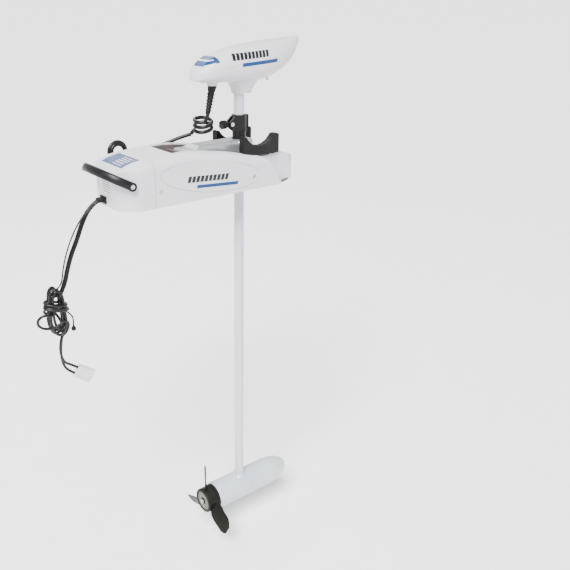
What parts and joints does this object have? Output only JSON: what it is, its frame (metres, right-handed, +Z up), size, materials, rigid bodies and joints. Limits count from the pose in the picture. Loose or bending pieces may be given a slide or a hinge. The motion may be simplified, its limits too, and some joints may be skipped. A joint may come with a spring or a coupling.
{
  "type": "trolling motor",
  "caption": "Bow-mount electric trolling motor: steering head, tube shaft, tilting deck mount with motor rests, depth collar, propeller unit and battery leads.",
  "frame": {"origin": "centre of the rectangle of deck bolt holes, on the underside of the mount's base", "axes": "+X points over the bow, where the shaft hangs; +Z is up, along the shaft; -Y is the near side, with the depth collar's cross pin head"},
  "size_m": [0.825, 0.2285, 1.5101],
  "materials": {
    "white_shell": "satin moulded white",
    "dark_casting": "dark anodised casting",
    "silver_casting": "cast, satin",
    "black_rubber": "matt",
    "black_plastic": "fine texture",
    "cord_black": "satin cord jacket",
    "grey_plastic": "moulded grey",
    "white_shaft": "gloss white tube",
    "white_paint": "gloss white enamel",
    "olive_prop": "glass-filled nylon",
    "steel": "stainless, turned",
    "bronze": "sintered bronze",
    "copper_part": "copper, bright",
    "board": "circuit board",
    "gear_nylon": "natural nylon",
    "magnet": "ferrite"
  },
  "bodies": {
    "root": {"base_channel": "dark_casting", "near_side_cover": "white_shell", "far_side_cover": "white_shell", "aft_cowl": "white_shell", "bow_nose_near": "white_shell", "bow_nose_far": "white_shell", "motor_rest_near": "black_rubber", "motor_rest_far": "black_rubber", "mount_screws": "steel", "control_board": "board", "tilt_pin": "steel", "power_gland": "black_rubber", "lead_positive": "cord_black", "lead_negative": "cord_black", "lead_sense": "cord_black", "cable_hank": "cord_black", "connector_housing": "grey_plastic", "connector_contacts": "copper_part", "lead_cap": "black_rubber", "cord_gland": "black_rubber", "mount_cord": "cord_black", "mount_cord_coil": "cord_black"},
    "lock": {"lock_plunger": "steel"},
    "handle": {"pull_handle": "black_plastic"},
    "arm": {"tilt_arm": "silver_casting", "gearbox_bushes": "bronze", "gearbox_cover": "black_plastic", "steer_motor": "steel"},
    "pinion": {"motor_pinion": "gear_nylon"},
    "worm": {"worm": "steel"},
    "spindle": {"spindle_sleeve": "black_plastic", "worm_wheel": "gear_nylon"},
    "collar": {"collar_near": "black_plastic", "collar_far": "black_plastic", "collar_pins": "steel"},
    "knob": {"collar_knob": "black_plastic"},
    "shaft": {"shaft_tube": "white_shaft", "motor_cable": "cord_black", "motor_case": "white_paint", "rear_end_bell": "white_paint", "nose_cone": "white_paint", "brush_holder": "black_plastic", "magnets": "magnet", "motor_bolts": "steel", "motor_bearings": "bronze", "shaft_seal": "black_rubber", "head_top_cover": "white_shell", "head_bottom_cover": "white_shell", "head_neck": "white_shell", "head_board": "board", "head_screws": "steel", "cord_grommet": "grey_plastic", "cord_strain_relief": "black_rubber", "head_cord": "cord_black"},
    "prop": {"armature": "copper_part", "armature_shaft": "steel", "propeller": "olive_prop", "prop_ring": "white_shell", "prop_nut": "steel", "drive_pin": "steel"}
  },
  "joints": [
    {"name": "tilt", "type": "hinge", "parent": "root", "child": "arm", "pos_m": [-0.048, 0, 0.102], "axis": [0, -1, 0], "range_deg": [0, 90]},
    {"name": "steer", "type": "hinge", "parent": "arm", "child": "spindle", "pos_m": [0.13, 0, 0.1], "axis": [0, 0, 1], "range_deg": [-180, 180]},
    {"name": "lift", "type": "slide", "parent": "spindle", "child": "collar", "axis": [0, 0, 1], "range_m": [0, 0.48]},
    {"name": "depth", "type": "slide", "parent": "collar", "child": "shaft", "axis": [0, 0, 1], "range_m": [0, 0.42]},
    {"name": "clamp_knob", "type": "hinge", "parent": "collar", "child": "knob", "pos_m": [0.08, 0, 0.163], "axis": [1, 0, 0], "range_deg": [0, 360]},
    {"name": "prop_spin", "type": "hinge", "parent": "shaft", "child": "prop", "pos_m": [0, 0, -1.05], "axis": [1, 0, 0], "continuous": true},
    {"name": "handle_pull", "type": "hinge", "parent": "root", "child": "handle", "pos_m": [-0.258, 0, 0.066], "axis": [0, 1, 0], "range_deg": [0, 30]},
    {"name": "lock_slide", "type": "slide", "parent": "root", "child": "lock", "axis": [-1, 0, 0], "range_m": [0, 0.0102]},
    {"name": "worm_spin", "type": "hinge", "parent": "arm", "child": "worm", "pos_m": [0.0952, 0, 0.099], "axis": [0, 1, 0], "range_deg": [-6480, 6480]},
    {"name": "pinion_spin", "type": "hinge", "parent": "arm", "child": "pinion", "pos_m": [0.0719, 0, 0.099], "axis": [0, 1, 0], "range_deg": [-7920, 7920]}
  ],
  "couplings": [
    {"joint": "lock_slide", "follows": "handle_pull", "m_per_rad": 0.0191},
    {"joint": "worm_spin", "follows": "steer", "ratio": 36},
    {"joint": "pinion_spin", "follows": "steer", "ratio": -44}
  ]
}
